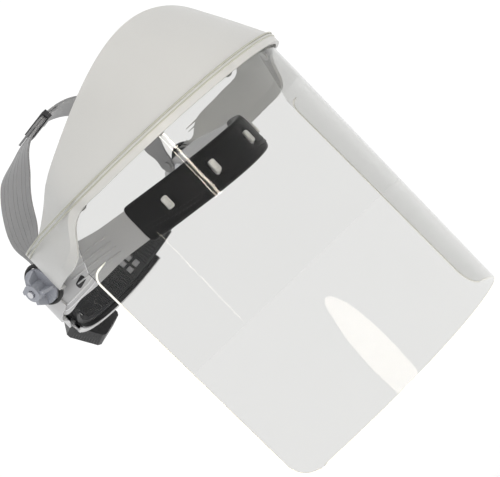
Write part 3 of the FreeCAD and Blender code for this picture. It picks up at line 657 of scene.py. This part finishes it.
class FACESHIELD_OT_visor(bpy.types.Operator):
    """Finish the visor, its studs and the brow guard"""

    bl_idname = "faceshield.visor"
    bl_label = "Visor and guard"

    def execute(self, context):
        settings = context.scene.faceshield_visor
        milky = milky_plastic(settings.guard)
        finish_nodes(milky, "brow_guard", "brow_guard")
        finish_nodes(clear_sheet(settings.sheet), "visor", "visor")
        finish_nodes(milky, "visor_studs", "visor_studs")
        # Painted glow: the edge trim emits light though it is no lamp, so it shows as a bright line on
        # both sides.
        edge = surface("edge_painted_glow", settings.edge, 0.2, patch=0.04, grain=300.0,
                       grain_depth=0.00003, Emission_Color=(1, 0.98, 0.9, 1), Emission_Strength=0.22)
        trim = ridges("visor_edge", [visor_outline(-1), visor_outline(1), visor_bottom()],
                      settings.edge_width, settings.edge_width / 2, edge)
        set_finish(trim, "visor")
        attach(trim, "shield")
        # The crease ridges are real raised lines, darkened with painted shade for the shadow line
        # under the guard's lip.
        crease_shade = surface("crease_painted_shade", settings.crease, 0.4, patch=0.05, grain=400.0)
        lines = [guard_crease(height * MM) for height in GUARD_CREASE_HEIGHTS]
        creases = ridges("guard_creases", lines, 1.1 * MM, 0.7 * MM, crease_shade)
        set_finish(creases, "brow_guard")
        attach(creases, "shield")
        return {"FINISHED"}


def headband_ridge_paths():
    """Lengthwise ridges on the outer face of both sides of the headband."""
    face = BAND_THICKNESS / 2
    paths = []
    for side in (-1, 1):
        for offset in BAND_RIDGE_OFFSETS:
            places = band_side_path(side, BAND_RIDGE_FRONT, BAND_RIDGE_BACK, 18)
            shift = Vector((0, 0, offset * MM))
            paths.append([(point + shift + normal * face, normal) for point, normal in places])
    return paths


def plate_rim(side, inset):
    """Raised rim along the lower edge and the end of a pivot plate."""
    face = BAND_HALF_WIDTH + BAND_THICKNESS / 2
    places = []
    for y, z in PLATE_RIM_PLAN:
        inward_y = inset if y > PLATE_END_Y else 0.0
        point = Vector((side * face, (y - inward_y) * MM, (z + inset) * MM))
        places.append((point, Vector((side, 0, 0))))
    return places


def plate_slot_places():
    """Centre, outward normal and upward way of the slot on each pivot plate."""
    face = BAND_HALF_WIDTH + BAND_THICKNESS / 2
    up = Vector((0, PLATE_SLOT_LEAN, 1)).normalized()
    places = []
    for side in (-1, 1):
        centre = Vector((side * face, PLATE_SLOT_Y, PLATE_SLOT_Z))
        places.append((centre, Vector((side, 0, 0)), up))
    return places


def clip_places():
    """Centre and outward normal of each clip on the headband."""
    places = []
    for angle in CLIP_ANGLES:
        point, normal = band_place(angle)
        places.append((point + Vector((0, 0, band_height(point.y))), normal))
    return places


class FACESHIELD_OT_headband(bpy.types.Operator):
    """Finish the headband and rear straps, with their ridges, rims, slots and clips"""

    bl_idname = "faceshield.headband"
    bl_label = "Headband"

    def execute(self, context):
        settings = context.scene.faceshield_band
        grey = surface("grey_plastic", settings.plastic, 0.38, patch=0.05, grain=700.0)
        white = surface("white_plastic", (0.8, 0.8, 0.78), 0.3, patch=0.02, grain=600.0)
        finish_nodes(grey, "grey_plastic", "headband", "rear_strap_left", "rear_strap_right",
                     "housing_cover", "strap_rivets")
        finish_nodes(white, "white_clips", "sweatband_clips")
        piece = ridges("headband_ridges", headband_ridge_paths(), settings.ridge_width,
                       settings.ridge_height, grey)
        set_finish(piece, "grey_plastic")
        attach(piece, "headgear")
        # Painted highlight: the pivot plates' rims are painted paler than the plastic so that they
        # show as bright edge lines.
        rim_highlight_color = [c * 1.4 for c in settings.plastic]
        pale = surface("rim_painted_highlight", rim_highlight_color, 0.3, patch=0.06, grain=700.0)
        rims = [plate_rim(side, inset) for side in (-1, 1) for inset in PLATE_RIM_INSETS]
        rim = ridges("plate_rims", rims, 1.1 * MM, 0.9 * MM, pale)
        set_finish(rim, "grey_plastic")
        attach(rim, "headgear")
        # Painted shade: a near-black plate stands in for the shade inside the slot on each pivot
        # plate.
        dark = surface("slot_shadow", (0.01, 0.01, 0.011), 0.5, patch=0.2, grain=900.0)
        levels = ((1.0, -0.4 * MM), (1.0, 0.25 * MM), (0.9, 0.4 * MM))
        size = (13 * MM, 5 * MM, 2 * MM)
        slot = plates("plate_slots", plate_slot_places(), size, levels, dark)
        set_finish(slot, "black_plastic")
        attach(slot, "headgear")
        clips = [(point, normal, Vector((0, 0, 1))) for point, normal in clip_places()]
        levels = (
            (1.0, 1.2 * MM),
            (1.0, 3.3 * MM),
            (0.92, 3.75 * MM),
            (0.62, 3.75 * MM),
            (0.55, 3.2 * MM),
        )
        size = (5.2 * MM, 10.2 * MM, 1.8 * MM)
        caps = plates("sweatband_clip_caps", clips, size, levels, white)
        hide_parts("sweatband_clips")
        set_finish(caps, "white_clips")
        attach(caps, "headgear")
        return {"FINISHED"}


def sweatband_ring(angle, share, settings):
    """One closed outline across the sweatband; share shrinks it at the ends."""
    point, normal = band_place(angle)
    middle = band_height(point.y) - 0.5 * MM
    ring = []
    count = 36
    for index in range(count):
        turn = 2 * math.pi * index / count
        cosine, sine = math.cos(turn), math.sin(turn)
        depth = -2.3 * MM + 4.4 * MM * share * math.copysign(abs(cosine) ** 0.5, cosine)
        height = settings.half_height * share * math.copysign(abs(sine) ** 0.42, sine)
        ring.append(point + normal * depth + Vector((0, 0, middle + height)))
    return ring


def sweatband_mesh(settings, material):
    """Padded sleeve round the front of the headband, before it is puffed up."""
    rings = []
    steps = 104
    for step in range(steps + 1):
        angle = settings.half_angle * (2 * step / steps - 1)
        edge = min(step, steps - step)
        share = (0.86, 0.97)[edge] if edge < 2 else 1.0
        rings.append(sweatband_ring(angle, share, settings))
    verts, faces = ring_mesh(rings)
    return new_piece("sweatband_cover", verts, faces, material)


def crease_height(angle):
    """Height of the sewn crease above the headband's middle line."""
    return (-8.0 + 2.6 * math.cos(math.radians(angle * 6.0))) * MM


def puff(obj, limit):
    """Short cloth run with inner pressure; no point moves further than the limit."""
    start = [v.co.copy() for v in obj.data.vertices]
    group = obj.vertex_groups.new(name="held")
    clips = clip_places()
    for vertex in obj.data.vertices:
        near = min((vertex.co - point).length for point, normal in clips)
        held = 1.0 if near < 7 * MM else 0.0
        group.add([vertex.index], held, "REPLACE")
    cloth = obj.modifiers.new("puff", "CLOTH")
    cloth.settings.quality = 5
    cloth.settings.mass = 0.2
    cloth.settings.tension_stiffness = 8
    cloth.settings.compression_stiffness = 8
    cloth.settings.bending_stiffness = 0.6
    cloth.settings.use_pressure = True
    cloth.settings.uniform_pressure_force = 3.0
    cloth.settings.vertex_group_mass = "held"
    cloth.settings.effector_weights.gravity = 0
    cloth.collision_settings.use_collision = False
    scene = bpy.context.scene
    for number in range(1, 13):
        scene.frame_set(number)
    graph = bpy.context.evaluated_depsgraph_get()
    result = bpy.data.meshes.new_from_object(obj.evaluated_get(graph))
    for vertex, origin, moved in zip(obj.data.vertices, start, result.vertices):
        shift = moved.co - origin
        if shift.length > limit:
            shift = shift.normalized() * limit
        vertex.co = origin + shift
    obj.modifiers.remove(cloth)
    bpy.data.meshes.remove(result)
    scene.frame_set(1)


def press_details(obj, settings):
    """Presses the sewn crease and a hollow round each clip into the sweatband."""
    clips = clip_places()
    half_length = BAND_CENTRE_Y - BAND_FRONT
    for vertex in obj.data.vertices:
        co = vertex.co
        angle = math.degrees(math.atan2(co.x / BAND_HALF_WIDTH, (BAND_CENTRE_Y - co.y) / half_length))
        point, normal = band_place(angle)
        if (co - point).dot(normal) < 0:
            continue
        height = co.z - band_height(point.y)
        off = (height - crease_height(angle)) / (1.3 * MM)
        press = 1.1 * MM * math.exp(-off * off)
        for place, _ in clips:
            away = co - place
            sideways = math.hypot(away.x, away.y) / (5.5 * MM)
            upright = away.z / (8.5 * MM)
            hollow = 1.6 * MM * (1 - smooth_step(math.hypot(sideways, upright), 0.6, 1.1))
            press = max(press, hollow)
        vertex.co = co - normal * press


def stitch_line(gap, settings):
    """Points of one row of stitches, gap above the sewn crease."""
    line = []
    for step in range(121):
        angle = settings.half_angle * 0.94 * (step / 60 - 1)
        point, normal = band_place(angle)
        height = band_height(point.y) + crease_height(angle) + gap
        line.append(point + normal * (2.0 * MM) + Vector((0, 0, height)))
    return line


class FACESHIELD_OT_sweatband(bpy.types.Operator):
    """Make the padded sweatband with its sewn crease and stitches"""

    bl_idname = "faceshield.sweatband"
    bl_label = "Sweatband"

    def execute(self, context):
        settings = context.scene.faceshield_sweatband
        vinyl = grained_vinyl(settings.vinyl)
        cover = sweatband_mesh(settings, vinyl)
        puff(cover, 1.0 * MM)
        press_details(cover, settings)
        smooth = cover.modifiers.new("smooth", "SUBSURF")
        smooth.levels = 1
        smooth.render_levels = 1
        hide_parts("sweatband")
        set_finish(cover, "sweatband")
        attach(cover, "headgear")
        lines = [stitch_line(gap * MM, settings) for gap in (-1.6, 1.6)]
        thread = surface("black_thread", (0.02, 0.02, 0.021), 0.6, patch=0.2, grain=2500.0)
        size = (2.0 * MM, 0.7 * MM, 0.55 * MM)
        stitches = repeat_along("sweatband_stitches", lines, "bead", settings.stitch_pitch, size,
                                (0, 0, 1), thread)
        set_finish(stitches, "sweatband")
        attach(stitches, "headgear")
        return {"FINISHED"}


def pad_rib_line(start, end):
    """Line along which the rear pad's ribs are set, between two angles."""
    count = 40
    spread = [start + (end - start) * step / count for step in range(count + 1)]
    return [rear_place(angle, PAD_INNER_RADIUS, 1 * MM) for angle in spread]


def window_places(up):
    """Centre, inward normal and upward way of the pale plate behind each window in the rear pad; the
    plate paints the light seen through the window.
    """
    places = []
    for side in (-1, 1):
        for column in WINDOW_COLUMNS:
            for row in WINDOW_ROWS:
                angle = side * WINDOW_ANGLE + column
                centre = rear_place(angle, PAD_INNER_RADIUS + 1.2 * MM, row * MM)
                inward_way = rear_place(angle, 0, 0) - rear_place(angle, 1, 0)
                places.append((centre, inward_way, up))
    return places


def knob_rib_lines():
    """Line along each flat of the ratchet knob, short of its corners."""
    corners = []
    for index in range(KNOB_SIDES + 1):
        turn = math.radians(KNOB_FIRST_ANGLE + 360 / KNOB_SIDES * index)
        local = Vector((KNOB_REACH * math.cos(turn), KNOB_MIDDLE, KNOB_REACH * math.sin(turn)))
        corners.append(REAR_CENTRE + Matrix.Rotation(-REAR_TILT, 3, "X") @ local)
    return [[a.lerp(b, 0.14), a.lerp(b, 0.86)] for a, b in zip(corners, corners[1:])]


class FACESHIELD_OT_rear(bpy.types.Operator):
    """Finish the rear pad, the ratchet housing and the ratchet knob"""

    bl_idname = "faceshield.rear"
    bl_label = "Rear ratchet"

    def execute(self, context):
        settings = context.scene.faceshield_rear
        rubber = surface("black_rubber", settings.rubber, 0.55, patch=0.12, grain=1100.0,
                         Specular_IOR_Level=0.35)
        knob = surface("black_plastic", settings.knob, 0.3, patch=0.15, grain=800.0)
        finish_nodes(rubber, "black_rubber", "rear_pad", "friction_washers", "outer_washers")
        finish_nodes(knob, "black_plastic", "housing_plate", "ratchet_knob", "pinion_shaft",
                     "rack_strap_left", "rack_strap_right")
        up = rear_place(0, 0, 1) - rear_place(0, 0, 0)
        ribs = [pad_rib_line(start, end) for start, end in PAD_RIB_SPANS]
        size = (1.1 * MM, 1.3 * MM, 20 * MM)
        pad_ribs = repeat_along("rear_pad_ribs", ribs, "bar", settings.rib_pitch, size, up, rubber)
        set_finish(pad_ribs, "black_rubber")
        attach(pad_ribs, "headgear")
        # Painted light: pale plates behind the pad's windows stand in for the light seen through them.
        pale = surface("window_painted_light", (0.42, 0.42, 0.43), 0.4, patch=0.08, grain=600.0)
        levels = ((1.0, -1.2 * MM), (1.0, 0.0), (0.85, 0.25 * MM))
        size = (4.8 * MM, 5.2 * MM, 1 * MM)
        window_light = plates("pad_window_painted_light", window_places(up), size, levels, pale)
        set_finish(window_light, "grey_plastic")
        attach(window_light, "headgear")
        axis = (rear_place(0, 1, 0) - rear_place(0, 0, 0)).normalized()
        size = (0.9 * MM, 1.0 * MM, 11.0 * MM)
        grips = repeat_along("ratchet_knob_ribs", knob_rib_lines(), "bar", 2.1 * MM, size, axis, knob)
        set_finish(grips, "black_plastic")
        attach(grips, "ratchet_knob")
        return {"FINISHED"}


class FACESHIELD_OT_crown(bpy.types.Operator):
    """Finish the crown strap with its lengthwise ridges"""

    bl_idname = "faceshield.crown"
    bl_label = "Crown strap"

    def execute(self, context):
        settings = context.scene.faceshield_band
        strap_color = [c * 0.475 for c in settings.plastic]
        grey = surface("strap_plastic", strap_color, 0.4, patch=0.06)
        finish_nodes(grey, "grey_plastic", "crown_strap_left", "crown_strap_right", "crown_pins")
        dark = surface("dark_plastic", (0.012, 0.012, 0.013), 0.4, patch=0.15, grain=700.0)
        finish_nodes(dark, "black_plastic", "crown_keeper")
        paths = []
        for start, end, lap in CROWN_RIDGE_SPANS:
            for offset in CROWN_RIDGE_OFFSETS:
                turns = [start + (end - start) * step / 36 for step in range(37)]
                paths.append([crown_ridge_place(turn, lap, offset) for turn in turns])
        piece = ridges("crown_ridges", paths, settings.ridge_width * 0.6,
                       settings.ridge_height * 0.35, grey)
        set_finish(piece, "grey_plastic")
        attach(piece, "crown_strap")
        return {"FINISHED"}


def washer_circle(side):
    """Points and outward normals round the washer under one tension knob."""
    centre = Vector((side * WASHER_FACE, PIVOT_Y, 0))
    places = []
    for step in range(65):
        turn = math.tau * step / 64
        spoke = Vector((0, math.cos(turn), math.sin(turn)))
        places.append((centre + spoke * WASHER_RIM_RADIUS, Vector((side, 0, 0))))
    return places


class FACESHIELD_OT_pivots(bpy.types.Operator):
    """Finish the tension knobs with their washer rims, the bolts, nuts and click spring"""

    bl_idname = "faceshield.pivots"
    bl_label = "Pivots"

    def execute(self, context):
        pale = surface("knob_plastic", (0.29, 0.3, 0.335), 0.26, patch=0.05, grain=500.0)
        steel = surface("plated_steel", (0.62, 0.62, 0.64), 0.28, patch=0.04, grain=1500.0,
                        Metallic=1.0)
        spring = surface("spring_steel", (0.55, 0.55, 0.57), 0.22, patch=0.04, grain=1500.0,
                         Metallic=1.0)
        brass = surface("turned_brass", (0.72, 0.55, 0.25), 0.28, patch=0.05, grain=1500.0,
                        Metallic=1.0)
        finish_nodes(pale, "knob_plastic", "tension_knob_left", "tension_knob_right")
        finish_nodes(steel, "bolt_steel", "pivot_bolts", "housing_screws", "knob_screw")
        finish_nodes(spring, "spring_steel", "click_spring")
        finish_nodes(brass, "knob_brass", "knob_nut_left", "knob_nut_right")
        black = surface("washer_rubber", (0.012, 0.012, 0.012), 0.5, patch=0.15,
                        Specular_IOR_Level=0.3)
        circles = [washer_circle(side) for side in (-1, 1)]
        rims = ridges("washer_rims", circles, 3.0 * MM, 2.2 * MM, black)
        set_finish(rims, "black_rubber")
        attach(rims, "shield")
        return {"FINISHED"}


def add_light(name, shape, place, target, size, power):
    """Warm soft light aimed at a point."""
    data = bpy.data.lights.new(name, "AREA")
    data.shape = shape
    data.size, data.size_y = size
    data.energy = power
    data.color = WARM
    lamp = bpy.data.objects.new(name, data)
    bpy.context.scene.collection.objects.link(lamp)
    lamp.location = place
    lamp.rotation_euler = (target - place).to_track_quat("-Z", "Y").to_euler()


def add_streaks(camera_turn):
    """The lamps of STREAKS, set round the visor's axis."""
    middle = Vector((0, VISOR_CENTRE_Y, 0))
    for name, shape, angle, low, high, width, reach, power in STREAKS:
        bearing = camera_turn + math.radians(angle)
        away = Vector((math.sin(bearing), -math.cos(bearing), 0))
        place = middle + away * reach + Vector((0, 0, (low + high) / 2))
        target = Vector((0, VISOR_CENTRE_Y, place.z))
        add_light(name, shape, place, target, (width, high - low), power)


def add_floor(height, material):
    """Wide pale floor."""
    corners = []
    for index in range(FLOOR_CORNERS):
        turn = math.tau * index / FLOOR_CORNERS
        corners.append((FLOOR_RADIUS * math.cos(turn), FLOOR_RADIUS * math.sin(turn), height))
    floor = bpy.data.meshes.new("floor")
    floor.from_pydata(corners, [], [tuple(range(FLOOR_CORNERS))])
    floor.materials.append(material)
    obj = bpy.data.objects.new("floor", floor)
    bpy.context.scene.collection.objects.link(obj)


def add_world(scene):
    """Even white surroundings."""
    world = bpy.data.worlds.new("studio")
    world.use_nodes = True
    background = world.node_tree.nodes["Background"]
    background.inputs["Color"].default_value = (1, 1, 1, 1)
    background.inputs["Strength"].default_value = 1.05
    scene.world = world


def add_camera(scene, settings):
    """Camera at its angles round the target, rolled about its line of sight."""
    turn = math.radians(settings.azimuth)
    lift = math.radians(settings.elevation)
    roll = math.radians(settings.roll)
    level = math.cos(lift)
    back = Vector((math.sin(turn) * level, -math.cos(turn) * level, math.sin(lift)))
    right = (-back).cross(Vector((0, 0, 1))).normalized()
    up = right.cross(-back)
    camera_x = right * math.cos(roll) - up * math.sin(roll)
    camera_y = right * math.sin(roll) + up * math.cos(roll)
    place = CAMERA_TARGET + back * settings.distance
    data = bpy.data.cameras.new("camera")
    data.sensor_width = CAMERA_SENSOR
    data.lens = CAMERA_LENS
    data.clip_end = 60.0
    camera = bpy.data.objects.new("camera", data)
    scene.collection.objects.link(camera)
    turned = Matrix((camera_x, camera_y, back)).transposed().to_4x4()
    camera.matrix_world = Matrix.Translation(place) @ turned
    scene.camera = camera


class FACESHIELD_OT_stage(bpy.types.Operator):
    """Set up the floor, the surroundings, the camera and the lights"""

    bl_idname = "faceshield.stage"
    bl_label = "Stage"

    def execute(self, context):
        settings = context.scene.faceshield_stage
        scene = context.scene
        paper = surface("floor_paper", (0.93, 0.93, 0.93), 0.9, patch=0.0,
                        Emission_Color=(1, 1, 1, 1), Emission_Strength=0.09)
        add_floor(CAD_LOW.z - settings.floor_gap, paper)
        add_world(scene)
        scene.view_settings.view_transform = "Standard"
        add_camera(scene, settings)
        add_streaks(math.radians(settings.azimuth))
        return {"FINISHED"}


class FACESHIELD_PT_panel(bpy.types.Panel):
    """Panel with one button for each group of pieces"""

    bl_idname = "FACESHIELD_PT_panel"
    bl_label = "Face shield"
    bl_space_type = "VIEW_3D"
    bl_region_type = "UI"
    bl_category = "Face shield"

    def draw(self, context):
        for operator in OPERATORS:
            self.layout.operator(operator.bl_idname)


OPERATORS = (
    FACESHIELD_OT_visor,
    FACESHIELD_OT_headband,
    FACESHIELD_OT_sweatband,
    FACESHIELD_OT_rear,
    FACESHIELD_OT_crown,
    FACESHIELD_OT_pivots,
    FACESHIELD_OT_stage,
)

SETTINGS = {
    "faceshield_visor": FACESHIELD_PG_visor,
    "faceshield_band": FACESHIELD_PG_band,
    "faceshield_sweatband": FACESHIELD_PG_sweatband,
    "faceshield_rear": FACESHIELD_PG_rear,
    "faceshield_stage": FACESHIELD_PG_stage,
}


def register():
    for name, group in SETTINGS.items():
        bpy.utils.register_class(group)
        setattr(bpy.types.Scene, name, bpy.props.PointerProperty(type=group))
    for operator in OPERATORS:
        bpy.utils.register_class(operator)
    bpy.utils.register_class(FACESHIELD_PT_panel)


def unregister():
    bpy.utils.unregister_class(FACESHIELD_PT_panel)
    for operator in reversed(OPERATORS):
        bpy.utils.unregister_class(operator)
    for name, group in SETTINGS.items():
        delattr(bpy.types.Scene, name)
        bpy.utils.unregister_class(group)


def main():
    """Builds every piece in order."""
    register()
    bpy.ops.faceshield.visor()
    bpy.ops.faceshield.headband()
    bpy.ops.faceshield.sweatband()
    bpy.ops.faceshield.rear()
    bpy.ops.faceshield.crown()
    bpy.ops.faceshield.pivots()
    bpy.ops.faceshield.stage()


if __name__ == "__main__":
    main()
